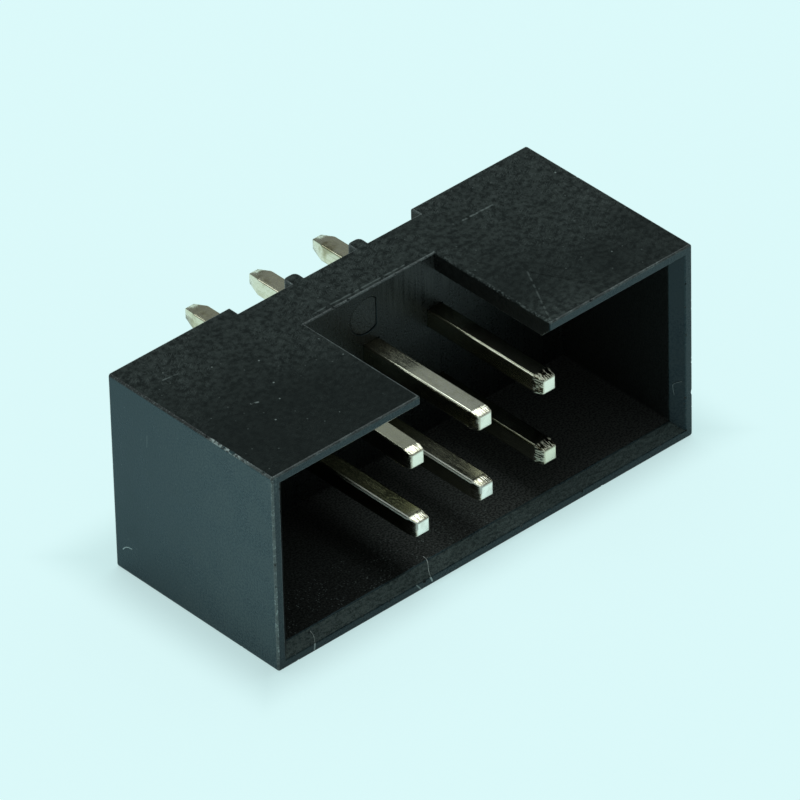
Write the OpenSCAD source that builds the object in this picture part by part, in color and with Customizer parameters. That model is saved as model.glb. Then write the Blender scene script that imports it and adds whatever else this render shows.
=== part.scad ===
// Box header for a keyed ribbon cable socket, two rows of three contacts.
// It lies on its plain long wall: X runs along the rows, the mouth faces -Y, the solder
// tails point to +Y and +Z is up. The origin is below the middle of the whole part.

/* [Housing] */
// Length of the housing along the rows
body_l = 13.1; // [12:0.1:20]
// Height of the housing as it lies, across the two rows
body_h = 5.5; // [5:0.1:8]
// Depth of the housing from the rim of its mouth to its feet
body_d = 5.6; // [5.2:0.1:10]
// Thickness of the four walls round the cavity
wall = 0.5; // [0.4:0.05:0.8]
// Depth of the cavity from the rim to the floor that holds the contacts
cavity_d = 3.9; // [3:0.1:4.2]
// Rounding of the four outer edges that run from the mouth to the feet
edge_r = 0.08; // [0.02:0.01:0.2]

/* [Mouth] */
// Width of the flat rim round the mouth
rim = 0.22; // [0.1:0.01:0.35]
// Depth of the sloped lead-in behind the rim
lead_in_d = 0.28; // [0.1:0.01:0.6]
// Width of the key slot in the upper long wall
slot_w = 4.05; // [2:0.05:5]

/* [Seating] */
// Height of the feet and pips that hold the floor off the board
standoff = 0.3; // [0.1:0.05:0.6]
// Length of each end foot along the housing
foot_l = 3.72; // [2:0.02:4]
// Width of the small pips between the contacts
pip_w = 0.42; // [0.2:0.02:0.6]
// Length of each pip in from its long wall's outer face
pip_l = 1.0; // [0.4:0.1:1.2]

/* [Contacts] */
// Distance from one contact to the next, along and across the rows
pitch = 2; // [1.8:0.01:2.2]
// Side of the square contact
pin_w = 0.5; // [0.4:0.01:0.6]
// Bevel on the contact's long edges
pin_bevel = 0.04; // [0.01:0.01:0.08]
// How far the contact's end lies inside the rim
tip_recess = 0.02; // [0:0.01:1]
// Length of the taper at the mating end
tip_l = 0.3; // [0.1:0.05:0.8]
// Side of the small flat at the mating end
tip_w = 0.38; // [0.2:0.02:0.38]
// Length of the solder tail past the feet
tail_l = 2.4; // [1.5:0.1:4]
// Length of the taper at the end of the tail
tail_taper_l = 0.45; // [0.2:0.05:1]
// Side of the small flat at the end of the tail
tail_tip_w = 0.28; // [0.1:0.02:0.38]

/* [Fit of the contacts] */
// Clearance round the contact in its hole
hole_gap = 0.03; // [0.01:0.01:0.05]
// Length of the coined wings that grip the hole
grip_l = 0.6; // [0.2:0.1:0.8]
// Height of the coined wings
grip_h = 0.28; // [0.1:0.02:0.3]
// Width of the lead-in round the hole on the board side
hole_lead = 0.12; // [0.05:0.01:0.2]

/* [Moulded marks] */
// Depth of the marks below their surface
mark_depth = 0.03; // [0.01:0.01:0.1]
// Base of the triangle that points out contact one
triangle_w = 1.86; // [0.8:0.02:2.2]
// Height of the triangle
triangle_h = 1.75; // [0.8:0.05:2.5]
// Distance of the triangle from the key slot and from the rim
triangle_gap = 0.1; // [0.05:0.05:0.3]
// Diameter of the ejector's mark on the floor
ejector_d = 0.98; // [0.5:0.02:1.1]
// Distance of the ejector mark's flat side from its middle
ejector_flat = 0.31; // [0.1:0.01:0.4]
// Distance of the ejector mark's upper edge from the top of the housing
ejector_drop = 0.24; // [0.1:0.02:0.4]
// Distance of the ejector mark's middle to the left of the slot's middle
ejector_shift = 0.13; // [0:0.01:0.5]

/* [Hidden] */

$fn = 48;
// Overlap of a cutting tool past the face that it cuts
past = 0.1;

columns = 3;
rows = 2;

overall_d = body_d + tail_l;
mouth_y = -overall_d / 2;
floor_t = body_d - standoff - cavity_d;
cavity_l = body_l - 2 * wall;
cavity_h = body_h - 2 * wall;
lead_w = wall - rim;
hole_w = pin_w + 2 * hole_gap;
pin_l = overall_d - tip_recess;

housing_colour = [0.1, 0.1, 0.11];
tin_colour = [0.78, 0.76, 0.7];

// Odd contacts are in the upper row beside the key slot, and contact one is at the right end
function column_x(n) = ((columns - 1) / 2 - floor((n - 1) / rows)) * pitch;
function row_z(n) = body_h / 2 + (n % rows == 1 ? pitch / 2 : -pitch / 2);

// Moves to the middle of the mouth, where y = 0 is the plane of the rim
module at_mouth() {
    translate([0, mouth_y, body_h / 2])
        children();
}

// Extrudes a flat outline from y = 0 to y = length, with the outline's y upwards
module along_y(length) {
    translate([0, length, 0])
        rotate([90, 0, 0])
            linear_extrude(height = length)
                children();
}

module rounded_rectangle(w, h, r) {
    square([w - 2 * r, h], center = true);
    square([w, h - 2 * r], center = true);
    for (side = [-1, 1], end = [-1, 1])
        translate([side * (w / 2 - r), end * (h / 2 - r)])
            circle(r = r);
}

// Square bar outline with its four corners cut off
module bevelled_square(w, bevel) {
    flat = w / 2 - bevel;
    polygon([
        [flat, w / 2], [w / 2, flat], [w / 2, -flat], [flat, -w / 2],
        [-flat, -w / 2], [-w / 2, -flat], [-w / 2, flat], [-flat, w / 2]
    ]);
}

// Block between a w0 by h0 face at y = 0 and a w1 by h1 face at y = length
module taper_block(w0, h0, w1, h1, length) {
    w = max(w0, w1);
    h = max(h0, h1);
    intersection() {
        translate([0, 0, -h / 2])
            linear_extrude(height = h)
                polygon([[-w0 / 2, 0], [w0 / 2, 0], [w1 / 2, length], [-w1 / 2, length]]);
        translate([-w / 2, 0, 0])
            rotate([90, 0, 90])
                linear_extrude(height = w)
                    polygon([[0, -h0 / 2], [length, -h1 / 2], [length, h1 / 2], [0, h0 / 2]]);
    }
}

// The mouth's cavity with its sloped lead-in, mitred in the corners
module cavity() {
    along_y(cavity_d)
        square([cavity_l, cavity_h], center = true);
    // The slope is carried past the rim at the same angle
    grow = lead_w * past / lead_in_d;
    translate([0, -past, 0])
        taper_block(
            cavity_l + 2 * (lead_w + grow), cavity_h + 2 * (lead_w + grow),
            cavity_l, cavity_h, lead_in_d + past
        );
}

module key_slot() {
    translate([-slot_w / 2, -past, cavity_h / 2 - past])
        cube([slot_w, cavity_d + past, wall + 2 * past]);
}

// Square hole through the floor, with a funnel on the board side
module contact_hole() {
    translate([0, cavity_d - past, 0])
        along_y(floor_t + 2 * past)
            square(hole_w, center = true);
    mouth_w = hole_w + 2 * hole_lead;
    translate([0, cavity_d + floor_t - hole_lead, 0])
        taper_block(hole_w, hole_w, mouth_w + 2 * past, mouth_w + 2 * past, hole_lead + past);
}

// Shallow space between the two feet, open to both long walls
module standoff_recess() {
    translate([-body_l / 2 + foot_l, body_d - standoff, -body_h / 2 - past])
        cube([body_l - 2 * foot_l, standoff + past, body_h + 2 * past]);
}

// Pip with a rounded crown, standing on the floor at one long wall
module pip(x, side) {
    crown_r = min(pip_w, standoff) / 2;
    low = side > 0 ? body_h / 2 - pip_l : -body_h / 2;
    translate([x, cavity_d + floor_t, low])
        linear_extrude(height = pip_l) {
            translate([-pip_w / 2, -past])
                square([pip_w, standoff + past - crown_r]);
            translate([-pip_w / 2 + crown_r, -past])
                square([pip_w - 2 * crown_r, standoff + past]);
            for (end = [-1, 1])
                translate([end * (pip_w / 2 - crown_r), standoff - crown_r])
                    circle(r = crown_r);
        }
}

// Triangle on the upper wall, with its base beside the rim and its point to the rear
module triangle_mark() {
    left = slot_w / 2 + triangle_gap;
    translate([left, triangle_gap, body_h / 2 - mark_depth])
        linear_extrude(height = mark_depth + past)
            polygon([[0, 0], [triangle_w, 0], [triangle_w / 2, triangle_h]]);
}

// Round witness mark with one flat side, on the floor behind the key slot
module ejector_mark() {
    mark_r = ejector_d / 2;
    translate([-ejector_shift, cavity_d - past, body_h / 2 - ejector_drop - mark_r])
        along_y(mark_depth + past)
            intersection() {
                circle(r = mark_r);
                translate([-mark_r, -mark_r])
                    square([mark_r + ejector_flat, ejector_d]);
            }
}

module housing() {
    color(housing_colour)
        at_mouth() {
            difference() {
                along_y(body_d)
                    rounded_rectangle(body_l, body_h, edge_r);
                cavity();
                key_slot();
                standoff_recess();
                triangle_mark();
                ejector_mark();
                for (n = [1 : rows * columns])
                    translate([column_x(n), 0, row_z(n) - body_h / 2])
                        contact_hole();
            }
            for (n = [1 : columns - 1], side = [-1, 1])
                pip((n - columns / 2) * pitch, side);
        }
}

// The contact's bar seen square on, from the mating end at y = 0 to the end of the tail
module bar_outline() {
    tail_y = pin_l - tail_taper_l;
    polygon([
        [-tip_w / 2, 0], [tip_w / 2, 0], [pin_w / 2, tip_l], [pin_w / 2, tail_y],
        [tail_tip_w / 2, pin_l], [-tail_tip_w / 2, pin_l], [-pin_w / 2, tail_y],
        [-pin_w / 2, tip_l]
    ]);
}

// Square bar with bevelled edges whose ends taper on all four sides
module contact_bar() {
    reach = pin_w / 2 + past;
    intersection() {
        along_y(pin_l)
            bevelled_square(pin_w, pin_bevel);
        translate([0, 0, -reach])
            linear_extrude(height = 2 * reach)
                bar_outline();
        translate([-reach, 0, 0])
            rotate([0, 90, 0])
                linear_extrude(height = 2 * reach)
                    bar_outline();
    }
}

// Contact gripped in its hole by two wings that are coined out of its sides
module contact(n) {
    color(tin_colour)
        translate([column_x(n), mouth_y, row_z(n)]) {
            translate([0, tip_recess, 0])
                contact_bar();
            translate([-hole_w / 2, cavity_d + (floor_t - hole_lead - grip_l) / 2, -grip_h / 2])
                cube([hole_w, grip_l, grip_h]);
        }
}

housing();
contact(1);  // pin_1
contact(2);  // pin_2
contact(3);  // pin_3
contact(4);  // pin_4
contact(5);  // pin_5
contact(6);  // pin_6
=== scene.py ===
# %% [markdown]
# # A small box header, dressed for its portrait
#
# A box header is a black moulded box with six tin-plated contacts standing in it. It is soldered
# to a board, and a ribbon cable's socket is pushed into its mouth. The CAD model already has the
# right shape and size, and its own meshes are never changed. This lesson dresses copies of them and
# adds what CAD leaves out: softened edges, small chips, the grain of the mould, drawn and plated
# metal, one contact that leans, and the lint and grit that a real one picks up on the bench.
#
# Everything is in metres, in the frame of the CAD model: X runs along the rows of contacts, the
# mouth faces -Y, the solder tails point to +Y, and Z is up.

import math

import bmesh
import bpy
from mathutils import Matrix, Vector


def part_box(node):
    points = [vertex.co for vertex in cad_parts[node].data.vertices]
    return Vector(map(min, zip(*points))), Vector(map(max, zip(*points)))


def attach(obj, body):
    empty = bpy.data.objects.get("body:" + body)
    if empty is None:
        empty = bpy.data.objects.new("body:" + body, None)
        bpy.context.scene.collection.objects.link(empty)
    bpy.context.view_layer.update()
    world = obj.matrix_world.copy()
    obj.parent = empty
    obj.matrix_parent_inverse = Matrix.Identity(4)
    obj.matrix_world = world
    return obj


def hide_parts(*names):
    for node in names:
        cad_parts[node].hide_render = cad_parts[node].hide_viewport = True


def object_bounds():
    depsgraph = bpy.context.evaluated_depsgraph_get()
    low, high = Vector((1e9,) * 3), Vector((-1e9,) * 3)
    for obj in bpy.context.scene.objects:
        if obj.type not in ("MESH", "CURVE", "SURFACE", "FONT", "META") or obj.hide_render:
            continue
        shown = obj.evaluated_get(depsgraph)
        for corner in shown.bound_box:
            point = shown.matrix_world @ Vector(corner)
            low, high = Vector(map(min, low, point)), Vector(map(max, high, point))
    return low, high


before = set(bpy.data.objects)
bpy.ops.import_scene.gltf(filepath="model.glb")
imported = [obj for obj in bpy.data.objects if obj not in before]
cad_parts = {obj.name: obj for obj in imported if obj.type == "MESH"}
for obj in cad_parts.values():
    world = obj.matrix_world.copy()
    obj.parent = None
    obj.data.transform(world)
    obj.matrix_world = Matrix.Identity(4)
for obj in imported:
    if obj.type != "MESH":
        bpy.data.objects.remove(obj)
cad_low, cad_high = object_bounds()
MM = 0.001
print("CAD box in mm:", [round(x / MM, 3) for x in (*cad_low, *cad_high)])

# %% [markdown]
# ## The camera
#
# The part is seen through a long lens from the front left, a little more than a third of the way up
# from the table. A long lens keeps the box's edges almost parallel. The camera could be placed by
# hand, but an azimuth, an elevation and a roll say the same thing in words, and the matrix follows
# from them.

# %% Camera
VIEW_AZIMUTH = math.radians(-41.706)
VIEW_ELEVATION = math.radians(36.205)
VIEW_ROLL = math.radians(-1.447)
VIEW_DISTANCE = 226.87 * MM
VIEW_AIM = Vector((0.354, -0.646, 2.411)) * MM
SENSOR = 36.0
LENS = 439.65


def direction(azimuth, elevation):
    """The way from the part towards a place round it: azimuth 0 is in front, at -Y."""
    level = math.cos(elevation)
    return Vector((math.sin(azimuth) * level, -math.cos(azimuth) * level, math.sin(elevation)))


def looking_at(place, aim, roll=0.0):
    """The matrix of a camera or lamp at a place, turned towards its aim."""
    back = (place - aim).normalized()
    turn = back.to_track_quat("Z", "Y").to_matrix().to_4x4()
    return Matrix.Translation(place) @ turn @ Matrix.Rotation(roll, 4, "Z")


camera = bpy.data.objects.new("camera", bpy.data.cameras.new("camera"))
bpy.context.scene.collection.objects.link(camera)
bpy.context.scene.camera = camera
camera.data.sensor_width = SENSOR
camera.data.lens = LENS
camera.data.clip_start = 10 * MM
camera.data.clip_end = 10.0
back = direction(VIEW_AZIMUTH, VIEW_ELEVATION)
camera.matrix_world = looking_at(VIEW_AIM + back * VIEW_DISTANCE, VIEW_AIM, VIEW_ROLL)
print("camera at, in mm:", [round(x / MM, 1) for x in camera.matrix_world.translation])

# %% [markdown]
# ## Node trees as Python expressions
#
# Both materials and Geometry Nodes are trees of nodes. Each could be wired up in the editor, but a
# tree that is written as an expression is easier to read and to change. `Term` stands for one
# output of a node, and Python's own operators join it to Math nodes, so `1 - mask` works. `Tree`
# adds any other node in one call: its settings first, then the values or links of its sockets.

# %% A term and a tree
class Term:
    """One output of a node. An operator on it adds a Math node."""

    def __init__(self, tree, socket):
        self.tree = tree
        self.socket = socket

    def math(self, operation, *values):
        """A Math node on some terms or numbers."""
        return self.tree.add("ShaderNodeMath", {"operation": operation}, dict(enumerate(values)))

    def output(self, name):
        """Another output of the same node."""
        return Term(self.tree, self.socket.node.outputs[name])

    def __add__(self, other):
        return self.math("ADD", self, other)

    def __sub__(self, other):
        return self.math("SUBTRACT", self, other)

    def __rsub__(self, other):
        return self.math("SUBTRACT", other, self)

    def __mul__(self, other):
        return self.math("MULTIPLY", self, other)

    def __gt__(self, other):
        return self.math("GREATER_THAN", self, other)

    def __lt__(self, other):
        return self.math("LESS_THAN", self, other)

    __radd__ = __add__
    __rmul__ = __mul__

    def size(self):
        """The number without its sign."""
        return self.math("ABSOLUTE", self)

    def root(self):
        """The square root."""
        return self.math("SQRT", self)

    def power(self, other):
        """The number raised to another."""
        return self.math("POWER", self, other)

    def least(self, other):
        """The smaller of the two."""
        return self.math("MINIMUM", self, other)

    def most(self, other):
        """The larger of the two."""
        return self.math("MAXIMUM", self, other)


class Tree:
    """Adds nodes to a node tree, one call for each."""

    def __init__(self, tree):
        self.tree = tree

    def add(self, kind, settings=None, values=None, output=0):
        """A node of this kind. Its settings come first, as they can change its sockets."""
        node = self.tree.nodes.new(kind)
        for name, value in (settings or {}).items():
            setattr(node, name, value)
        for name, value in (values or {}).items():
            if isinstance(value, Term):
                self.tree.links.new(value.socket, node.inputs[name])
            else:
                node.inputs[name].default_value = value
        return Term(self, node.outputs[output]) if node.outputs else None


print("a term has:", [name for name in vars(Term) if not name.startswith("_")])

# %% [markdown]
# ## A material tree
#
# `Finish` is a tree for one material. Its patterns are measured in millimetres: the object's own
# coordinates are multiplied by a thousand once, and a noise of size 0.1 then has blobs about a
# tenth of a millimetre across. Colours and vectors never go through a Math node, which would turn
# them grey, so `blend` uses the Mix node.

# %% A material as a tree
class Finish(Tree):
    """One material, with the patterns that this part's finishes are made of."""

    def __init__(self, name):
        self.material = bpy.data.materials.new(name)
        self.material.use_nodes = True
        super().__init__(self.material.node_tree)
        self.tree.nodes.clear()
        self.own = self.add("ShaderNodeTexCoord", output="Object")
        self.place = self.add(
            "ShaderNodeVectorMath", {"operation": "SCALE"}, {0: self.own, "Scale": 1 / MM}
        )

    def parts(self, vector):
        """The x, y and z of a vector."""
        split = self.add("ShaderNodeSeparateXYZ", values={0: vector})
        return split, split.output("Y"), split.output("Z")

    def laid(self, size, turn=0.0):
        """The place in a pattern whose cells have these sizes in mm, turned about Z."""
        values = {"Vector": self.place, "Scale": size, "Rotation": (0, 0, turn)}
        return self.add("ShaderNodeMapping", {"vector_type": "TEXTURE"}, values)

    def noise(self, size, detail):
        """Soft noise. Size is that of its blobs in mm, or three sizes for blobs that are long."""
        size = size if isinstance(size, tuple) else (size,) * 3
        values = {"Vector": self.laid(size), "Scale": 1.0, "Detail": detail}
        return self.add("ShaderNodeTexNoise", values=values)

    def strands(self, length, width, turn, kept):
        """Short straight fibres on the faces that look up or down."""
        values = {"Vector": self.laid((length, width, 1), turn), "Scale": 1.0}
        cells = self.add("ShaderNodeTexVoronoi", {"voronoi_dimensions": "2D"}, values)
        pick = self.parts(cells.output("Color"))[0]
        return (1 - self.ramp(cells, 0.12, 0.34)) * (pick < kept)

    def scratch(self, across, along, start, end, width):
        """A thin straight line between two places, in the plane of two coordinates."""
        run = (end[0] - start[0], end[1] - start[1])
        length = math.hypot(*run)
        run = (run[0] / length, run[1] / length)
        from_x = across - start[0]
        from_y = along - start[1]
        reach = (from_x * run[0] + from_y * run[1]).most(0.0).least(length)
        off_x = from_x - reach * run[0]
        off_y = from_y - reach * run[1]
        gap = off_x * off_x + off_y * off_y
        return self.ramp(gap, (width * 0.2) ** 2, width ** 2, 1.0, 0.0)

    def scratches(self, across, along, marks):
        """Several such lines. Each has its start, its end, its width and its strength."""
        shown = 0.0
        for start, end, width, strength in marks:
            shown = (self.scratch(across, along, start, end, width) * strength).most(shown)
        return shown

    def ramp(self, value, low, high, start=0.0, end=1.0):
        """Start below low, end above high, and a smooth step between them. 1 to 4 are sockets."""
        values = {"Value": value, 1: low, 2: high, 3: start, 4: end}
        return self.add("ShaderNodeMapRange", {"interpolation_type": "SMOOTHSTEP"}, values)

    def blend(self, share, first, second):
        """From the first colour to the second. Sockets 0, 6 and 7 are the share and the colours."""
        values = {0: share, 6: first, 7: second}
        return self.add("ShaderNodeMix", {"data_type": "RGBA"}, values, output=2)

    def specks(self, scale, radius, kept):
        """Round spots, one in each kept cell of a Voronoi pattern with scale cells to the mm."""
        cells = self.add("ShaderNodeTexVoronoi", values={"Vector": self.place, "Scale": scale})
        pick = self.parts(cells.output("Color"))[0]
        return (1 - self.ramp(cells, radius * 0.6, radius)) * (pick < kept)

    def bump(self, height, depth):
        """A normal that tilts as if the surface rose by depth, in metres, where height is one."""
        return self.add("ShaderNodeBump", values={"Height": height, "Distance": depth})

    def finish(self, **sockets):
        """Ends the tree in a Principled shader. A socket's name is written with underscores."""
        values = {name.replace("_", " "): value for name, value in sockets.items()}
        shader = self.add("ShaderNodeBsdfPrincipled", values=values)
        self.add("ShaderNodeOutputMaterial", values={"Surface": shader})
        return self.material


print("a finish has:", [name for name in vars(Finish) if not name.startswith("_")])

# %% [markdown]
# ## Light and table
#
# Small parts show best in a light tent: soft light from everywhere, and a pale table that shows in
# every glossy face. A lamp that is large for its distance gives soft light, so each lamp here is a
# square of soft white. The table is a real floor that takes the part's shadow, and most of its
# brightness comes from a little glow that only the camera and reflections see, so that it looks
# pale without throwing more light on the part. Near the part that glow fades, which is a painted
# shadow round it, both in view and in reflections.

# %% Lamps
TENT_WHITE = (0.88, 1.0, 0.985)
LAMP_DISTANCE = 0.30
# Each lamp's azimuth and elevation in degrees, its width in metres and how bright its face is
LAMPS = {
    "lamp_above": (150, 72, 0.20, 3.0),
    "lamp_side": (95, 52, 0.16, 1.6),
    "lamp_left": (-136, 33, 0.10, 1.2),
}


def soft_lamp(name, azimuth, elevation, width, radiance):
    """A square lamp, turned towards the part."""
    lamp = bpy.data.lights.new(name, "AREA")
    lamp.shape = "SQUARE"
    lamp.size = width
    lamp.energy = radiance * math.pi * width ** 2
    lamp.color = TENT_WHITE
    holder = bpy.data.objects.new(name, lamp)
    bpy.context.scene.collection.objects.link(holder)
    where = direction(math.radians(azimuth), math.radians(elevation)) * LAMP_DISTANCE
    holder.matrix_world = looking_at(where, Vector((0, 0, 0)))


for name, values in LAMPS.items():
    soft_lamp(name, *values)

# %% World
PALE = (0.74, 0.985, 0.99, 1)
SKY_LIGHT = 0.2
world = bpy.data.worlds.new("light_tent")
bpy.context.scene.world = world
world.use_nodes = True
sky = Tree(world.node_tree)
sky.tree.nodes.clear()
seen = sky.add("ShaderNodeLightPath", output="Is Camera Ray")
tent = sky.add("ShaderNodeBackground", values={"Color": (*TENT_WHITE, 1), "Strength": SKY_LIGHT})
shown = sky.add("ShaderNodeBackground", values={"Color": PALE, "Strength": 1.0})
both = sky.add("ShaderNodeMixShader", values={0: seen, 1: tent, 2: shown})
sky.add("ShaderNodeOutputWorld", values={"Surface": both})
print("world lit by", len(world.node_tree.nodes), "nodes")

# %% Table
TABLE_HALF = 1.5
TABLE_CORNERS = [(-1, -1), (1, -1), (1, 1), (-1, 1)]
TABLE_GLOW = 0.9
CARD = (0.70, 0.92, 0.93, 1)
# About the part's footprint in mm, and how far from it the painted shadow fades and the table's
# glow comes back to full
SHADE_MIDDLE_Y = -0.8
SHADE_HALF = (6.5, 2.8)
SEEN_SHADOW_FADE = 1.6
MIRRORED_SHADOW_FADE = 2.6


def pale_table():
    """Matt card that glows a little for the camera and in reflections, less so near the part: a
    painted shadow.
    """
    tree = Finish("pale_table")
    seen = tree.add("ShaderNodeLightPath", output="Is Camera Ray")
    mirrored = seen.output("Is Glossy Ray").most(seen.output("Is Transmission Ray"))
    card = tree.add("ShaderNodeBsdfDiffuse", values={"Color": CARD})
    glow = tree.add("ShaderNodeEmission", values={"Color": PALE, "Strength": 1.0})
    x, y = tree.parts(tree.place)[:2]
    # The glow fades near the part, as a painted shadow for the camera and in reflections
    gap = (x.size() - SHADE_HALF[0]).most((y - SHADE_MIDDLE_Y).size() - SHADE_HALF[1])
    painted_shadow_seen = tree.ramp(gap, 0.0, SEEN_SHADOW_FADE, 0.68, 1.0)
    painted_shadow_mirrored = tree.ramp(gap, 0.0, MIRRORED_SHADOW_FADE, 0.5, 1.0)
    share = (seen * painted_shadow_seen).most(mirrored * painted_shadow_mirrored) * TABLE_GLOW
    mixed = tree.add("ShaderNodeMixShader", values={0: share, 1: card, 2: glow})
    tree.add("ShaderNodeOutputMaterial", values={"Surface": mixed})
    return tree.material


corners = [(x * TABLE_HALF, y * TABLE_HALF, cad_low.z) for x, y in TABLE_CORNERS]
table_mesh = bpy.data.meshes.new("table")
table_mesh.from_pydata(corners, [], [(0, 1, 2, 3)])
table_mesh.materials.append(pale_table())
table = bpy.data.objects.new("table", table_mesh)
bpy.context.scene.collection.objects.link(table)
print("table at z =", cad_low.z)

# %% [markdown]
# ## The moulded plastic
#
# The housing is black polyester filled with short glass fibres. The mould's long walls are spark
# eroded, and what they leave is a grain in which the fibres show as pale streaks. The ends and the
# rim come off smoother steel and have a satin sheen that mirrors the table. The cavity's own walls
# are in between. One image of dirt could be wrapped round it all, but a finish that is worked out
# from the place on the part has no seams and can be changed by a number. So each finish is a short
# function with a pattern of its own, and all of them end in `close`, which mixes black, grey and
# fibre and sets how rough the face is.

# %% Moulded black plastic
BLACK = (0.0034, 0.0044, 0.0041, 1)
FIBRE = (0.15, 0.175, 0.17, 1)
WHITE_LINT = (0.5, 0.55, 0.53, 1)
SATIN_SHEEN = (0.12, 0.64, 0.86, 1)
RIM_SHEEN = (0.22, 0.48, 0.60, 1)
SLOPE_SHEEN = (0.24, 0.40, 0.50, 1)
DULL_SHEEN = (0.7, 0.95, 0.95, 1)
FLOOR_SHEEN = (0.62, 0.66, 0.66, 1)
# Where one face ends and the next begins, in mm, as the patterns measure them
LEFT_END_X = -6.4
RIM_Y = -3.99
LEAD_IN_Y = -3.6
FLOOR_FRONT_Y = -0.1
HALF_Z = 2.75


class Moulding(Finish):
    """Glass-filled black plastic. Each finish of the mould adds its own pattern to it."""

    def close(self, tone, fibres, texture, depth, rough, sheen, grey, ior=1.5, warm=0.84):
        """Tone runs from black to grey, and texture gives the bump and the roughness."""
        base = self.blend(tone, BLACK, (grey * warm, grey, grey * 0.95, 1))
        base = self.blend(fibres.least(1.0), base, FIBRE)
        base = self.blend(self.ramp(fibres, 1.0, 2.0), base, WHITE_LINT)
        roughness = self.ramp(texture, 0.3, 0.7, rough - 0.1, rough + 0.1)
        return self.finish(
            Base_Color=base, Roughness=roughness, Normal=self.bump(texture, depth * MM), IOR=ior,
            Specular_Tint=sheen
        )


# %% Satin faces
# Each mark runs from one place to another, in mm, and has a width and a strength
END_MARKS = [
    ((0.32, 4.10), (0.30, 4.42), 0.022, 0.2),
    ((1.34, 0.63), (1.24, 0.735), 0.02, 0.8),
    ((1.24, 0.735), (1.13, 0.785), 0.02, 0.8),
    ((1.13, 0.785), (1.02, 0.795), 0.02, 0.8),
]
RIM_MARKS = [
    ((-1.83, 0.23), (-1.78, 0.10), 0.03, 1.0),
    ((-2.26, 0.22), (-2.13, 0.04), 0.025, 0.6),
    ((-5.42, 0.23), (-5.44, 0.08), 0.03, 1.0),
]


def satin_black(name, sheen, grey):
    """The ends, the rim and its slopes: smooth steel's satin, a little cloudy and specked."""
    tree = Moulding(name)
    x, y, z = tree.parts(tree.place)
    clouds = tree.noise(0.7, 4)
    fine = tree.noise(0.05, 3)
    texture = fine * 0.5 + clouds * 0.5
    left = x < LEFT_END_X
    marks = left * tree.scratches(y, z, END_MARKS)
    marks = marks.most((y < RIM_Y) * tree.scratches(x, z, RIM_MARKS))
    specks = tree.specks(2.2, 0.09, 0.12) + tree.specks(9, 0.2, 0.02) * 0.4
    corner = left * tree.ramp((y + 4.0) * 1.6 - z, -5.6, -4.6, 1.0, 0.0)
    rubbed = corner * tree.ramp(tree.noise(0.07, 3), 0.45, 0.62) * 0.8
    tone = tree.ramp(fine, 0.42, 0.58) * 0.6 + tree.ramp(clouds, 0.3, 0.7) * 0.4
    tone = tone * tree.ramp(y, -3.8, 1.4, 1.3, 0.35)
    # Painted light: the right slope is lighter towards the top
    right_slope = (x > 5.5) * (x < -LEFT_END_X) * (y > RIM_Y) * (y < LEAD_IN_Y)
    tone = tone + right_slope * tree.ramp(z, 2.4, 4.8, 0.0, 0.7)
    shown = (marks * 2.5).most(specks).most(rubbed).least(2.0)
    return tree.close(tone, shown, texture, 0.008, 0.33, sheen, grey)


# %% Grained walls
WALL_MARKS = [
    ((3.39, 0.40), (4.29, 0.37), 0.035, 0.5),
    ((-5.81, 0.53), (-5.42, 0.48), 0.03, 0.45),
    ((-4.98, -1.55), (-4.82, -1.61), 0.032, 0.8),
    ((-1.6, 0.06), (1.2, 0.03), 0.03, 0.35),
    ((2.13, -3.89), (3.05, -2.16), 0.03, 0.22),
]
SLOT_SIDE_X = 2.03


def grained_black():
    """The outside of the long walls: salt and pepper grain under short glass fibres, with painted
    light that makes them lighter towards the back.
    """
    tree = Moulding("grained_black")
    x, y, z = tree.parts(tree.place)
    salt = tree.noise(0.035, 2)
    grain = tree.noise(0.13, 4)
    grit = salt * 0.5 + grain * 0.5
    clouds = tree.noise(1.6, 3)
    strands = tree.strands(0.30, 0.022, 0.5, 0.35)
    strands = strands.most(tree.strands(0.22, 0.020, 1.9, 0.30))
    strands = strands.most(tree.strands(0.26, 0.018, 1.1, 0.30))
    # Painted light: lighter towards the back and darker at the front left, with the fibres fainter
    # there too
    back = tree.ramp(y + x * 0.14 + clouds * 1.5, -2.6, 1.4)
    rubbed = tree.ramp(y, -4.0, -2.4, 1.2, 0.0) * tree.ramp(x, 2.0, 5.0, 1.0, 0.3) * (x > 0.0)
    pepper = 0.1 + tree.ramp(salt * 0.3 + grain * 0.7, 0.36, 0.64) * 0.8
    tone = pepper * (0.27 + back * 0.63 + rubbed * 0.9)
    fibres = strands * tree.ramp(clouds, 0.42, 0.58, 0.08, 0.3) * (0.25 + back * 0.75)
    specks = tree.specks(3.2, 0.10, 0.07) * 1.3 + tree.specks(9, 0.2, 0.05) * 0.5
    marks = tree.scratches(x, y, WALL_MARKS) * tree.ramp(grain, 0.35, 0.55)
    slot_edge = (x > 1.9) * tree.ramp(x, SLOT_SIDE_X, SLOT_SIDE_X + 0.1, 1.0, 0.0)
    slot_edge = slot_edge * (y < FLOOR_FRONT_Y)
    marks = marks.most(slot_edge * tree.ramp(tree.noise(0.06, 3), 0.50, 0.62) * 0.38)
    shown = fibres.most(specks).most(marks * (z > HALF_Z) * 1.6)
    return tree.close(tone, shown, grit, 0.03, 0.6, DULL_SHEEN, 0.052, ior=1.2)


# %% Cavity walls
# The ejector's round mark, in mm: its middle, its radius and where its flat side is
EJECTOR_X = -0.13
EJECTOR_Z = 4.77
EJECTOR_R = 0.488
EJECTOR_SIDE_X = 0.17


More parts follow.
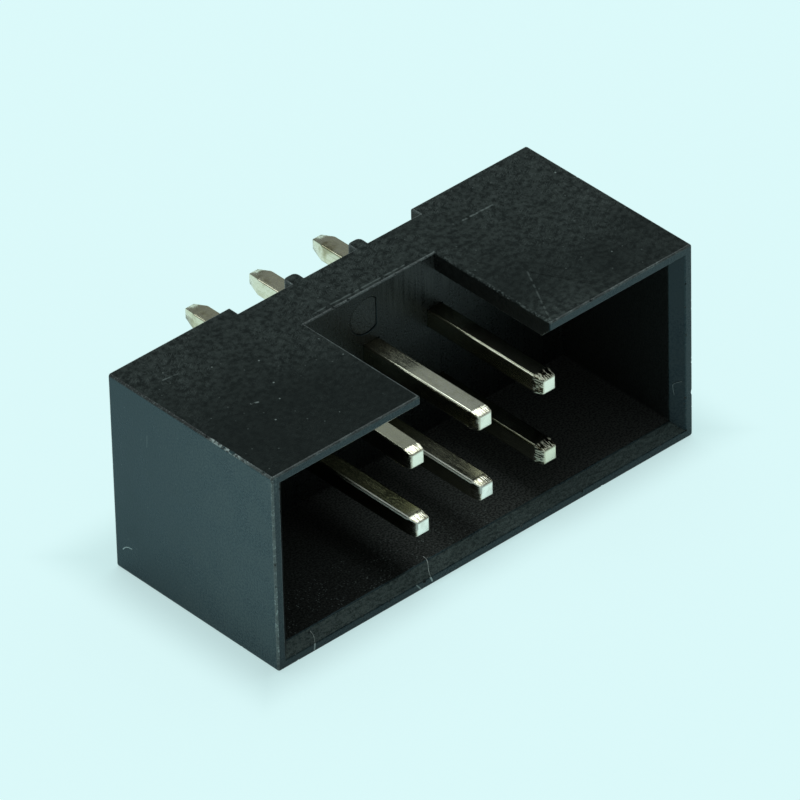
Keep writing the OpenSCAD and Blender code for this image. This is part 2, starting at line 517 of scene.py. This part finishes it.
def inner_black(name, ior, grey):
    """The cavity's own walls: dull, with painted glints near the mouth, painted light and shade,
    and faint upright lines behind.
    """
    tree = Moulding(name)
    x, y, z = tree.parts(tree.place)
    upright = tree.noise((0.07, 0.4, 1.6), 3)
    fine = tree.noise(0.05, 3)
    below = (z < 0.55) * (y < 0.0)
    behind = (y > -0.2) * (y < 0.2)
    at_mouth = tree.ramp(y, -3.2, -1.4, 1.0, 0.0) * tree.ramp(x, -3.5, 3.0, 1.0, 0.25) * below
    glints = tree.specks(18, 0.36, 0.34) * tree.ramp(tree.noise(0.5, 3), 0.4, 0.6, 0.3, 1.0)
    glints = (glints + tree.specks(7, 0.18, 0.12) * 1.2) * at_mouth
    glints = glints + tree.specks(8, 0.16, 0.04) * 0.4
    grit = tree.ramp(fine, 0.40, 0.6, 0.4, 1.6)
    # Painted reflection: a pale patch at the upper right of the back wall
    shine = tree.ramp(x, -0.5, 1.0) * tree.ramp(z, 3.9, 4.8)
    disc = (y > -0.085) * (y < 0.0)
    # Painted shade: a dark line round the edge of the ejector's mark, which is also rougher there
    # and grooved in the bump
    off_x = x - EJECTOR_X
    off_z = z - EJECTOR_Z
    from_ring = ((off_x * off_x + off_z * off_z).root() - EJECTOR_R).size()
    ring = tree.ramp(from_ring, 0.006, 0.02, 1.0, 0.0) * (x < EJECTOR_SIDE_X) * behind
    rough = 0.5 - behind * 0.17 + ring * 0.4
    # Painted light: the bottom is lifted, more towards the right, and so are the right wall and the
    # back wall's upper right
    level = 0.16 - behind * 0.05 + disc * 0.35 + below * tree.ramp(x, -4.0, 4.5, 0.15, 0.6)
    level = level + (x > 5.9) * 0.14 + behind * tree.ramp(x, 0.4, 1.6) * (z > 3.3) * 0.12
    tone = level * grit + tree.ramp(upright, 0.38, 0.66) * behind * (0.03 + shine * 0.6)
    tone = tone * (1.0 - ring)
    texture = fine * 0.7 + upright * behind * 0.3 - ring * 1.6
    return tree.close(tone, glints * 1.2, texture, 0.012, rough, FLOOR_SHEEN, grey, ior, warm=0.96)


# %% Lower lead-in, with painted light
def lead_in_grain_and_painted_light():
    """The lower lead-in: rougher, and greyer with painted light from above, most of all at the
    left.
    """
    tree = Moulding("sanded_lead_in")
    x = tree.parts(tree.place)[0]
    grit = tree.noise(0.035, 3) * 0.5 + tree.noise((0.14, 0.05, 0.05), 3) * 0.5
    tone = tree.ramp(grit, 0.30, 0.70) * tree.ramp(x, -4.8, -1.0, 1.4, 0.9)
    specks = tree.specks(14, 0.3, 0.12) * 0.35
    return tree.close(tone, specks, grit, 0.03, 0.62, DULL_SHEEN, 0.118)


# %% [markdown]
# ## Worn edges
#
# Plastic that rubs on its neighbours goes pale, because the skin of clean resin comes off the
# fibres. It happens on the edges first, so they get a finish of their own: grey, with paler
# patches, and nearly white where something has knocked the long upper edge at the left. The
# left edges' paler grey and the white there are partly painted highlight, and the upper and lower
# edges at the left get darker towards the back.

# %% Worn edges
DENT_Y = -2.4
UPPER_EDGE_Z = 5.3
LOWER_EDGE_Z = 0.2
EDGE_GREY = (0.034, 0.042, 0.042, 1)
LEFT_WEAR_AND_HIGHLIGHT_GREY = (0.12, 0.145, 0.145, 1)
PATCH_GREY = (0.17, 0.205, 0.205, 1)
DARK_REAR_EDGE = (0.008, 0.010, 0.010, 1)
PALE_WEAR_AND_HIGHLIGHT = (0.5, 0.58, 0.57, 1)


def worn_black():
    """An edge that has rubbed on others in the bag: greyer and patchy, most of all at the left,
    where part of the pale is painted highlight.
    """
    tree = Finish("worn_edge")
    x, y, z = tree.parts(tree.place)
    left = x < LEFT_END_X
    upper = z > UPPER_EDGE_Z
    # The left's upper and lower edges get darker towards the back
    kept = left * upper.most(z < LOWER_EDGE_Z) * tree.ramp(y, -3.4, -1.9, 0.3, 0.95)
    rubbed = left * (1.0 - kept)
    patches = tree.ramp(tree.noise(0.3, 4), 0.40, 0.66) * (0.3 + rubbed * 0.7)
    # Pale spots, and the white at the dent: wear and painted highlight both
    bright = tree.ramp(tree.noise(0.045, 3), 0.54, 0.66) * (0.3 + rubbed * 0.5) * (0.4 + patches)
    dent = tree.ramp((y - DENT_Y).size(), 0.4, 0.6, 1.0, 0.0) * left * upper
    bright = bright.most(dent * tree.ramp(tree.noise(0.09, 2), 0.40, 0.55) * 0.8)
    base = tree.blend(rubbed, EDGE_GREY, LEFT_WEAR_AND_HIGHLIGHT_GREY)
    base = tree.blend(patches, base, PATCH_GREY)
    base = tree.blend(kept * 0.85, base, DARK_REAR_EDGE)
    base = tree.blend(bright, base, PALE_WEAR_AND_HIGHLIGHT)
    return tree.finish(
        Base_Color=base, Roughness=0.55, Normal=tree.bump(tree.noise(0.06, 4), 0.02 * MM)
    )


# %% The housing's finishes
HOUSING_FINISHES = (
    satin_black("satin_end", SATIN_SHEEN, 0.075), worn_black(), grained_black(),
    inner_black("inner_black", 1.42, 0.06), inner_black("gritty_black", 1.18, 0.085),
    lead_in_grain_and_painted_light(),
    satin_black("satin_rim", RIM_SHEEN, 0.04), satin_black("satin_slope", SLOPE_SHEEN, 0.03),
)
END, WORN, GRAINED, INNER, CAVITY_BOTTOM, LEAD_IN, RIM_FACE, SLOPE = range(8)
print("plastics:", [material.name for material in HOUSING_FINISHES])

# %% [markdown]
# ## From CAD mesh to moulding
#
# A CAD mesh arrives as loose triangles with knife edges. A real moulding's edges are a little
# round, and light finds a thin bright line along each of them. So the node's mesh is copied, its
# triangles are merged and its flat faces made whole, and each sharp edge gets a weight for the
# Bevel modifier. Shallow marks get a smaller bevel than the outer edges, or it would swallow them.

# %% Copies of CAD nodes
MERGE = 0.0005 * MM
FLAT = math.radians(1)


def joined_copy(node, name):
    """A CAD node's mesh as a new object, merged, with its flat faces made whole."""
    shape = bmesh.new()
    shape.from_mesh(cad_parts[node].data)
    bmesh.ops.remove_doubles(shape, verts=shape.verts, dist=MERGE)
    bmesh.ops.dissolve_limit(shape, angle_limit=FLAT, verts=shape.verts, edges=shape.edges)
    mesh = bpy.data.meshes.new(name)
    shape.to_mesh(mesh)
    shape.free()
    for extra in ("custom_normal", "UVMap"):
        if extra in mesh.attributes:
            mesh.attributes.remove(mesh.attributes[extra])
    piece = bpy.data.objects.new(name, mesh)
    bpy.context.scene.collection.objects.link(piece)
    return piece


def settle(piece):
    """Keeps what the modifiers make as the piece's plain mesh."""
    graph = bpy.context.evaluated_depsgraph_get()
    made = bpy.data.meshes.new_from_object(piece.evaluated_get(graph), depsgraph=graph)
    piece.modifiers.clear()
    piece.data = made
    return piece


# %% Bevels
SHARP = math.radians(40)


def weigh_edges(piece, weigh):
    """Gives each sharp edge the bevel weight that weigh(edge) says."""
    shape = bmesh.new()
    shape.from_mesh(piece.data)
    weights = shape.edges.layers.float.new("bevel_weight_edge")
    count = 0
    for edge in shape.edges:
        if edge.is_convex and edge.calc_face_angle() > SHARP:
            edge[weights] = weigh(edge)
            count += 1
    shape.to_mesh(piece.data)
    shape.free()
    return count


def bevel(piece, width, segments, material):
    """Rounds the weighted edges, and gives the rounding a material of its own."""
    rounding = piece.modifiers.new("rounding", "BEVEL")
    rounding.limit_method = "WEIGHT"
    rounding.width = width
    rounding.segments = segments
    rounding.material = material
    rounding.use_clamp_overlap = False
    return settle(piece)


def shade(piece):
    """Smooth roundings between flat faces, and true creases in the inner corners."""
    shape = bmesh.new()
    shape.from_mesh(piece.data)
    for face in shape.faces:
        face.smooth = True
    for edge in shape.edges:
        edge.smooth = edge.calc_face_angle() < SHARP
    shape.to_mesh(piece.data)
    shape.free()
    piece.modifiers.new("weighted_normals", "WEIGHTED_NORMAL").keep_sharp = True
    return settle(piece)


# %% Places on the housing
housing_low, housing_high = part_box("housing")
HAIR = 0.01 * MM
NEAR_TOP = housing_high.z - 0.1 * MM
FLOOR_Y = housing_low.y + 3.9 * MM
FLOOR_BAND = 0.05 * MM
FLOOR_LOW = housing_low.z + 0.6 * MM
FLOOR_HIGH = housing_high.z - 0.2 * MM
TRIANGLE_X = 3.05 * MM
TRIANGLE_HALF = 1.1 * MM
TRIANGLE_FRONT = housing_low.y + 0.05 * MM
TRIANGLE_BACK = housing_low.y + 2.1 * MM


def on_triangle(place):
    """Whether a place belongs to the triangle on the slotted wall."""
    across = abs(place.x - TRIANGLE_X) < TRIANGLE_HALF
    return across and TRIANGLE_FRONT < place.y < TRIANGLE_BACK and place.z > NEAR_TOP


def on_floor(place):
    """Whether a place is on the cavity's floor, with its holes and the ejector's mark."""
    return abs(place.y - FLOOR_Y) < FLOOR_BAND and FLOOR_LOW < place.z < FLOOR_HIGH


def from_outside(place):
    """How far a place lies in from the nearest of the four outer walls."""
    across = min(place.x - housing_low.x, housing_high.x - place.x)
    return min(across, place.z - housing_low.z, housing_high.z - place.z)


print("cavity floor at y =", round(FLOOR_Y / MM, 3), "mm")

# %% Holes and triangle
PITCH = 2.0 * MM
HOLE_REACH = 0.3 * MM
HOLE_HALF = 0.2515 * MM
TRIANGLE_DEPTH = 0.007 * MM
middle_z = (housing_low.z + housing_high.z) / 2
CONTACT_PLACES = [(x * PITCH, middle_z + row * PITCH / 2) for x in (-1, 0, 1) for row in (-1, 1)]


def close_up(shape):
    """Makes the triangle fainter, and closes the floor's holes on the contacts."""
    for vertex in shape.vertices:
        place = vertex.co
        if on_triangle(place) and place.z < housing_high.z - HAIR:
            place.z = housing_high.z - TRIANGLE_DEPTH
        if abs(place.y - FLOOR_Y) < HAIR and place.z < NEAR_TOP:
            for x, z in CONTACT_PLACES:
                off_x, off_z = place.x - x, place.z - z
                if max(abs(off_x), abs(off_z)) < HOLE_REACH:
                    place.x = x + math.copysign(HOLE_HALF, off_x)
                    place.z = z + math.copysign(HOLE_HALF, off_z)


housing = joined_copy("housing", "moulded_housing")
close_up(housing.data)
print("housing corners:", len(housing.data.vertices))

# %% [markdown]
# ## Finishes and roundings of the housing
#
# A mould's faces have their own finishes, so each flat face gets its material from where it is and
# which way it looks. Painting the faces by hand in Edit Mode would do for one header, but a rule
# still holds after the CAD model changes. The bevel comes last: it gives its new faces the worn
# finish, and the few inside the mouth, which nothing rubs on, are then given the rim's.

# %% Finishes of its faces
EDGE_BAND = 0.09 * MM
WALL_BAND = 0.05 * MM
END_BAND = 0.1 * MM


def finish_of(face):
    """Which finish a face of the housing has."""
    place = face.center
    across, forward, up = face.normal
    if min(abs(across), abs(up)) > 0.3 and from_outside(place) < EDGE_BAND:
        return WORN
    if up > 0.9 and place.z < FLOOR_LOW and place.y < 0:
        return CAVITY_BOTTOM
    if min(place.z - housing_low.z, housing_high.z - place.z) < WALL_BAND:
        return GRAINED
    if -0.95 < forward < -0.2:
        return LEAD_IN if up > 0.3 else SLOPE
    if place.y - housing_low.y < HAIR or housing_high.x - place.x < END_BAND:
        return RIM_FACE
    return END if place.x - housing_low.x < END_BAND else INNER


for material in HOUSING_FINISHES:
    housing.data.materials.append(material)
for polygon in housing.data.polygons:
    polygon.material_index = finish_of(polygon)
print("finishes used:", len({polygon.material_index for polygon in housing.data.polygons}))

# %% Roundings
EDGE_ROUND = 0.05 * MM
INSIDE = 0.12 * MM


def housing_weight(edge):
    """The whole rounding on outer edges, half of it in the mouth, and little at a mark."""
    middle = (edge.verts[0].co + edge.verts[1].co) / 2
    if on_triangle(middle):
        return 0.1
    if on_floor(middle):
        return 0.2
    return 1.0 if from_outside(middle) < EDGE_BAND else 0.5


print("sharp edges:", weigh_edges(housing, housing_weight))
bevel(housing, EDGE_ROUND, 3, material=WORN)
for polygon in housing.data.polygons:
    if polygon.material_index == WORN and from_outside(polygon.center) > INSIDE:
        polygon.material_index = RIM_FACE
    if polygon.material_index == WORN and on_triangle(polygon.center):
        polygon.material_index = GRAINED
print("housing faces:", len(housing.data.polygons))

# %% [markdown]
# ## Chips along the edges
#
# Headers are shipped loose in a bag, so their edges pick up tiny chips. Each could be modelled by
# hand, but chips repeat along an edge, and that is what Geometry Nodes are for. `Growth` is such a
# tree, written in the same way as a material. It starts from the object that it is laid on, has
# named inputs, and ends by realising what it made. Here it turns the worn edges, given as plain
# lines, into points, and puts a rough little ball on each, most of them too small to see. A Boolean
# then bites the balls out of the housing, and leaves the worn finish in each bite.

# %% Geometry Nodes as expressions
SOCKETS = {float: "NodeSocketFloat", int: "NodeSocketInt"}


class Growth(Tree):
    """A Geometry Nodes tree with named inputs."""

    def __init__(self, name, **inputs):
        super().__init__(bpy.data.node_groups.new(name, "GeometryNodeTree"))
        face = self.tree.interface
        face.new_socket("Geometry", in_out="INPUT", socket_type="NodeSocketGeometry")
        for title, value in inputs.items():
            face.new_socket(title, in_out="INPUT", socket_type=SOCKETS[type(value)])
        face.new_socket("Geometry", in_out="OUTPUT", socket_type="NodeSocketGeometry")
        self.values = inputs
        self.start = self.add("NodeGroupInput")

    def given(self, title):
        """The input with this title."""
        return self.start.output(title)

    def random(self, low, high, seed):
        """A random number for each point. Sockets 2 and 3 are its lowest and its highest."""
        values = {2: low, 3: high, "Seed": seed}
        return self.add("FunctionNodeRandomValue", {"data_type": "FLOAT"}, values, output=1)

    def random_vector(self, low, high, seed):
        """Three random numbers for each point. Sockets 0 and 1 are their lowest and highest."""
        values = {0: (low,) * 3, 1: (high,) * 3, "Seed": seed}
        return self.add("FunctionNodeRandomValue", {"data_type": "FLOAT_VECTOR"}, values)

    def grow(self, geometry, material, piece):
        """Ends the tree, lays it on the piece and keeps the mesh that it makes."""
        real = self.add("GeometryNodeRealizeInstances", values={"Geometry": geometry})
        real = self.add("GeometryNodeSetMaterial", values={"Geometry": real, "Material": material})
        self.add("NodeGroupOutput", values={"Geometry": real})
        modifier = piece.modifiers.new(self.tree.name, "NODES")
        modifier.node_group = self.tree
        for item in self.tree.interface.items_tree:
            if item.in_out == "INPUT" and item.name in self.values:
                modifier[item.identifier] = self.values[item.name]
        return settle(piece)


def lines(name, runs):
    """An object of plain lines. Each run is a list of places in metres."""
    places, joins = [], []
    for run in runs:
        first = len(places)
        places += run
        joins += [(k, k + 1) for k in range(first, len(places) - 1)]
    mesh = bpy.data.meshes.new(name)
    mesh.from_pydata(places, joins, [])
    piece = bpy.data.objects.new(name, mesh)
    bpy.context.scene.collection.objects.link(piece)
    return piece


# %% Edges that wear
LEFT, RIGHT = housing_low.x, housing_high.x
FRONT, BACK = housing_low.y, housing_high.y
BOTTOM, TOP = housing_low.z, housing_high.z
SLOT = 2.025 * MM
RIM = 0.22 * MM
WORN_EDGES = [
    [(LEFT, FRONT, TOP), (LEFT, BACK, TOP)],
    [(LEFT, FRONT, TOP), (LEFT, FRONT, BOTTOM)],
    [(LEFT, FRONT, BOTTOM), (LEFT, BACK, BOTTOM)],
    [(RIGHT, FRONT, TOP), (RIGHT, BACK, TOP)],
    [(RIGHT, FRONT, TOP), (RIGHT, FRONT, BOTTOM)],
    [(LEFT, FRONT, TOP), (-SLOT, FRONT, TOP), (-SLOT, FLOOR_Y, TOP), (SLOT, FLOOR_Y, TOP),
     (SLOT, FRONT, TOP), (RIGHT, FRONT, TOP)],
    [(LEFT, FRONT, BOTTOM), (RIGHT, FRONT, BOTTOM)],
    [(LEFT + RIM, FRONT, BOTTOM + RIM), (RIGHT - RIM, FRONT, BOTTOM + RIM)],
    [(LEFT + RIM, FRONT, BOTTOM + RIM), (LEFT + RIM, FRONT, TOP - RIM)],
    [(RIGHT - RIM, FRONT, BOTTOM + RIM), (RIGHT - RIM, FRONT, TOP - RIM)],
]
print("worn edges:", len(WORN_EDGES))

# %% Chips
CHIP_SPACING = 0.16 * MM
CHIP_SPREAD = 0.02 * MM
SMALLEST_CHIP = 0.01 * MM
LARGEST_CHIP = 0.055 * MM
# A high power of an even random number makes nearly every chip small
CHIP_POWER = 7.0
FULL_TURN = 6.28


def edge_chips():
    """Rough little balls along the worn edges."""
    tree = Growth(
        "edge_chips", Spacing=CHIP_SPACING, Spread=CHIP_SPREAD, Smallest=SMALLEST_CHIP,
        Largest=LARGEST_CHIP, Seed=7
    )
    seed = tree.given("Seed")
    spacing = tree.given("Spacing")
    curve = tree.add("GeometryNodeMeshToCurve", values={"Mesh": tree.given("Geometry")})
    curve = tree.add(
        "GeometryNodeResampleCurve", {"mode": "LENGTH"}, {"Curve": curve, "Length": spacing}
    )
    points = tree.add("GeometryNodeCurveToPoints", {"mode": "EVALUATED"}, {"Curve": curve})
    nudge = tree.add(
        "ShaderNodeVectorMath", {"operation": "SCALE"},
        {0: tree.random_vector(-1.0, 1.0, seed), "Scale": tree.given("Spread")}
    )
    points = tree.add("GeometryNodeSetPosition", values={"Geometry": points, "Offset": nudge})
    ball = tree.add("GeometryNodeMeshIcoSphere", values={"Radius": 1.0, "Subdivisions": 1})
    share = tree.random(0.0, 1.0, seed + 1)
    size = tree.given("Smallest") + share.power(CHIP_POWER) * tree.given("Largest")
    balls = tree.add("GeometryNodeInstanceOnPoints", values={
        "Points": points, "Instance": ball, "Scale": size,
        "Rotation": tree.random_vector(0.0, FULL_TURN, seed + 2)
    })
    return tree.grow(balls, HOUSING_FINISHES[WORN], lines("edge_chips", WORN_EDGES))


chips = edge_chips()
print("corners of the chips:", len(chips.data.vertices))

# %% Notches
# The larger bites, listed one by one: where each one's middle is, and its three radii, in mm
NOTCHES = [
    ((6.575, -4.015, 1.25), (0.085, 0.09, 0.13)),
    ((6.575, -4.015, 2.12), (0.060, 0.07, 0.06)),
    ((6.575, -4.015, 2.88), (0.055, 0.07, 0.05)),
    ((6.575, -4.015, 3.66), (0.065, 0.08, 0.07)),
    ((-6.565, -2.84, 5.520), (0.060, 0.10, 0.050)),
    ((-6.560, -2.62, 5.525), (0.095, 0.17, 0.070)),
    ((-6.560, -2.36, 5.530), (0.080, 0.13, 0.065)),
    ((-6.570, -2.10, 5.520), (0.065, 0.12, 0.050)),
    ((-6.565, -1.72, 5.525), (0.065, 0.06, 0.060)),
    ((-6.570, -3.70, 5.520), (0.060, 0.12, 0.050)),
]


def add_notches(piece):
    """Adds a ball for each notch to the piece's mesh."""
    shape = bmesh.new()
    shape.from_mesh(piece.data)
    for middle, radii in NOTCHES:
        stretch = Matrix.Diagonal((*(radius * MM for radius in radii), 1))
        where = Matrix.Translation(Vector(middle) * MM) @ stretch
        bmesh.ops.create_icosphere(shape, subdivisions=2, radius=1.0, matrix=where)
    shape.to_mesh(piece.data)
    shape.free()


def bite(piece, cutter):
    """Takes the cutter out of the piece."""
    cut = piece.modifiers.new("bite", "BOOLEAN")
    cut.operation = "DIFFERENCE"
    cut.solver = "EXACT"
    cut.use_self = True
    cut.material_mode = "TRANSFER"
    cut.object = cutter
    settle(piece)
    bpy.data.objects.remove(cutter)


add_notches(chips)
bite(housing, chips)
print("faces of the chipped housing:", len(housing.data.polygons))

# %% Close the housing
shade(housing)
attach(housing, "root")
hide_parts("housing")
print("housing done, with", len(housing.data.materials), "finishes")

# %% [markdown]
# ## Lint
#
# Three short white fibres cling to the lead-in. They could be painted on, but a fibre stands off
# the face and throws a thin shadow. So each is a bent line, given as a list of places, that
# Geometry Nodes makes into a round thread of even thickness.

# %% Lint
LINT_RADIUS = 0.0065 * MM
LINT_POINTS = 24
LINT_SIDES = 8
LINT_DULL = (0.42, 0.46, 0.45, 1)
LINT_PALE = (0.75, 0.8, 0.78, 1)
LINT_FAINT = (0.10, 0.13, 0.14, 1)
LINT_RUNS = [
    [(-1.66, -3.58, 0.507), (-1.69, -3.74, 0.487), (-1.79, -3.90, 0.325), (-1.82, -3.985, 0.24)],
    [(-5.37, -3.78, 0.447), (-5.35, -3.87, 0.357), (-5.41, -3.985, 0.24)],
    [(6.26, -3.945, 1.67), (6.13, -3.81, 1.60), (6.11, -3.79, 1.50), (6.13, -3.815, 1.27)],
]


def white_lint():
    """Cotton, patchy with dust. The thread at the right end has lost most of its white."""
    tree = Finish("white_lint")
    x = tree.parts(tree.place)[0]
    tone = tree.ramp(tree.noise(0.1, 2), 0.4, 0.6)
    base = tree.blend(tone, LINT_DULL, LINT_PALE)
    base = tree.blend((x > 5.0) * 0.75, base, LINT_FAINT)
    return tree.finish(Base_Color=base, Roughness=0.6)


def lint():
    """A thread along each run, smooth between its places."""
    runs = [[Vector(place) * MM for place in run] for run in LINT_RUNS]
    tree = Growth("lint", Radius=LINT_RADIUS, Count=LINT_POINTS)
    radius = tree.given("Radius")
    count = tree.given("Count")
    curve = tree.add("GeometryNodeMeshToCurve", values={"Mesh": tree.given("Geometry")})
    curve = tree.add(
        "GeometryNodeCurveSplineType", {"spline_type": "CATMULL_ROM"}, {"Curve": curve}
    )
    curve = tree.add("GeometryNodeResampleCurve", values={"Curve": curve, "Count": count})
    ring = tree.add(
        "GeometryNodeCurvePrimitiveCircle", values={"Radius": radius, "Resolution": LINT_SIDES}
    )
    thread = tree.add(
        "GeometryNodeCurveToMesh", values={"Curve": curve, "Profile Curve": ring, "Fill Caps": True}
    )
    return tree.grow(thread, white_lint(), lines("lint", runs))


threads = lint()
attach(threads, "root")
print("lint vertices:", len(threads.data.vertices))

# %% [markdown]
# ## The contacts
#
# Each contact is drawn square wire, stamped to a taper at both ends and plated with matt tin. The
# drawing leaves streaks along the wire. The stamping leaves finer streaks down the slopes of the
# tip, with the dark brass between them. A plain grey metal would mirror the black cavity and turn
# black itself, so the tin is warm where it is clean, and painted shade makes it olive deep in the
# cavity and brown near the floor. It is brown at the cut ends, and a few edges and the pale streaks
# of the tips get a painted highlight, paler than a mirror would be.

# %% Tin
TIN = (0.90, 0.87, 0.74, 1)
PALE_TIN = (0.98, 0.97, 0.88, 1)
WARM_GREY = (0.55, 0.50, 0.45, 1)
OLIVE = (0.50, 0.50, 0.27, 1)
SHADE_OLIVE = (0.21, 0.215, 0.125, 1)
TAN = (0.66, 0.60, 0.42, 1)
BROWN = (0.20, 0.16, 0.09, 1)
CUT_BRASS = (0.10, 0.085, 0.05, 1)
PAINTED_GLEAM_TIN = (0.98, 0.95, 0.76, 1)
# Along the contact, in mm: its flat nose, where the slopes of its tip fade out, and its tail
NOSE_Y = -3.97
SLOPE_Y = (-3.75, -3.66)
TAIL_Y = 1.5


def drawn_tin(name, smooth):
    """Tin over drawn brass, with painted shade that darkens it towards the floor. It is tan on the
    tails.
    """
    tree = Finish(name)
    x, y, z = tree.parts(tree.place)
    along = tree.noise((0.022, 0.9, 0.022), 3)
    grains = tree.noise((0.03, 0.06, 0.03), 3)
    fans = tree.noise((0.035, 0.5, 0.035), 2)
    stain = tree.ramp(tree.noise(0.4, 3), 0.5, 0.75)
    wire = y > NOSE_Y
    tip = tree.ramp(y, *SLOPE_Y, 1.0, 0.0)
    right = x > 1.0
    # The flat noses of the lower row
    nose = (y < NOSE_Y) * (z < HALF_Z)
    base = tree.blend(nose * (x < 1.0), TIN, PALE_TIN)
    base = tree.blend(nose * right * 0.3, base, OLIVE)
    # Painted shade: olive deep in the cavity, on the lower row and a little on the upper left
    # contact, and brown near the floor; and tan and stained behind
    deep = tree.ramp(y, -2.8, -0.2) * tree.ramp(y, 1.4, 1.6, 1.0, 0.0)
    lower = tree.ramp(z, 2.3, 3.0, 1.0, 0.0) * tree.ramp(y, -3.9, -3.5)
    base = tree.blend(deep * (0.3 + lower * 0.6), base, OLIVE)
    base = tree.blend((x < -1.5) * (z > HALF_Z) * wire * 0.25, base, OLIVE)
    base = tree.blend(tree.ramp(y, -1.1, -0.1) * (y < 1.0) * 0.65, base, BROWN)
    base = tree.blend(lower * tree.ramp(x, -1.3, -0.7, 1.0, 0.5), base, SHADE_OLIVE)
    base = tree.blend((y > TAIL_Y) * (0.5 + stain * 0.5), base, TAN)
    base = tree.blend(stain * tree.ramp(y, 2.9, 4.0, 0.25, 1.0), base, BROWN)
    # The streaks of drawing, and the grain of the plating
    base = tree.blend(wire * tree.ramp(along, 0.5, 0.75) * 0.35, base, BROWN)
    share = tree.ramp(grains, 0.48, 0.62) * (0.15 if smooth else 0.35)
    base = tree.blend(wire * share, base, OLIVE)
    # The stamped slopes, streaked most of all on the right pair, whose pale streaks are a painted
    # highlight
    base = tree.blend(wire * tip * 0.35, base, WARM_GREY)
    base = tree.blend(wire * tip * tree.ramp(fans, 0.48, 0.58) * 0.7, base, BROWN)
    struck = wire * tip * right
    base = tree.blend(struck * tree.ramp(fans, 0.46, 0.54) * 0.9, base, CUT_BRASS)
    gleam = struck * tree.ramp(fans, 0.44, 0.54, 1.0, 0.0)
    base = tree.blend(gleam, base, PAINTED_GLEAM_TIN)
    rough = tree.ramp(grains * 0.5 + along * 0.5, 0.35, 0.65, 0.12, 0.26)
    metal = 1.0 - gleam * 0.9
    if smooth:
        # Painted shade along the right pair's rounded edges
        base = tree.blend(right * wire * (1.0 - tip) * 0.55, base, SHADE_OLIVE)
        rough = rough + tree.ramp(y, -3.93, -3.9, 0.45, 0.0)
        # Painted highlight: pale and less metal, on the upper left edges of the lower row
        left_edge = (x < -2.1).most((x > -1.0) * (x < -0.1))
        shiny = left_edge * (z > 1.75) * (z < HALF_Z) * tree.ramp(y, -2.6, -1.0, 1.0, 0.0)
        metal = metal - shiny * 0.9
        base = tree.blend(shiny, base, PALE_TIN)
    height = along * 0.4 + fans * tip * 6.0
    return tree.finish(
        Base_Color=base, Metallic=metal, Roughness=rough, Normal=tree.bump(height, 0.0015 * MM)
    )


CONTACT_FINISHES = (drawn_tin("drawn_tin", smooth=False), drawn_tin("burnished_tin", smooth=True))
TIN_EDGES = 1
print("tins:", [material.name for material in CONTACT_FINISHES])

# %% [markdown]
# ## From CAD mesh to contact
#
# The six contacts are alike, so one loop dresses them all. Each is a copy of its CAD node with
# rounded edges. One was knocked sideways in the bag, and its front half leans. Turning the whole
# piece would pull its tail out of line, so the mesh is cut at the cavity's floor, and only what is
# in front of the cut moves, the more the further forward it is.

# %% Leaning
LEAN = {"pin_5": -0.115 * MM}


def lean(piece, shift):
    """Bends the contact at the floor, so that its mating end moves sideways by shift."""
    shape = bmesh.new()
    shape.from_mesh(piece.data)
    everything = [*shape.verts, *shape.edges, *shape.faces]
    bmesh.ops.bisect_plane(shape, geom=everything, plane_co=(0, FLOOR_Y, 0), plane_no=(0, 1, 0))
    reach = FLOOR_Y - housing_low.y
    for vertex in shape.verts:
        vertex.co.x += shift * max(0.0, FLOOR_Y - vertex.co.y) / reach
    shape.to_mesh(piece.data)
    shape.free()


print("leaning contacts:", list(LEAN))

# %% Contacts
WIRE_ROUND = 0.036 * MM
NOSE_BACK = -3.9 * MM


def contact_weight(edge):
    """The whole rounding round the flat nose, and about half of it along the wire."""
    return 1.0 if max(corner.co.y for corner in edge.verts) < NOSE_BACK else 0.55


for node in sorted(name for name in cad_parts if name.startswith("pin_")):
    contact = joined_copy(node, node.replace("pin", "contact"))
    for material in CONTACT_FINISHES:
        contact.data.materials.append(material)
    if node in LEAN:
        lean(contact, LEAN[node])
    weigh_edges(contact, contact_weight)
    bevel(contact, WIRE_ROUND, 2, material=TIN_EDGES)
    shade(contact)
    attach(contact, "root")
    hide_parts(node)

# %% [markdown]
# ## Finish
#
# The view transform is Standard, which shows colours as the materials give them.

# %% Finish
view = bpy.context.scene.view_settings
view.view_transform = "Standard"
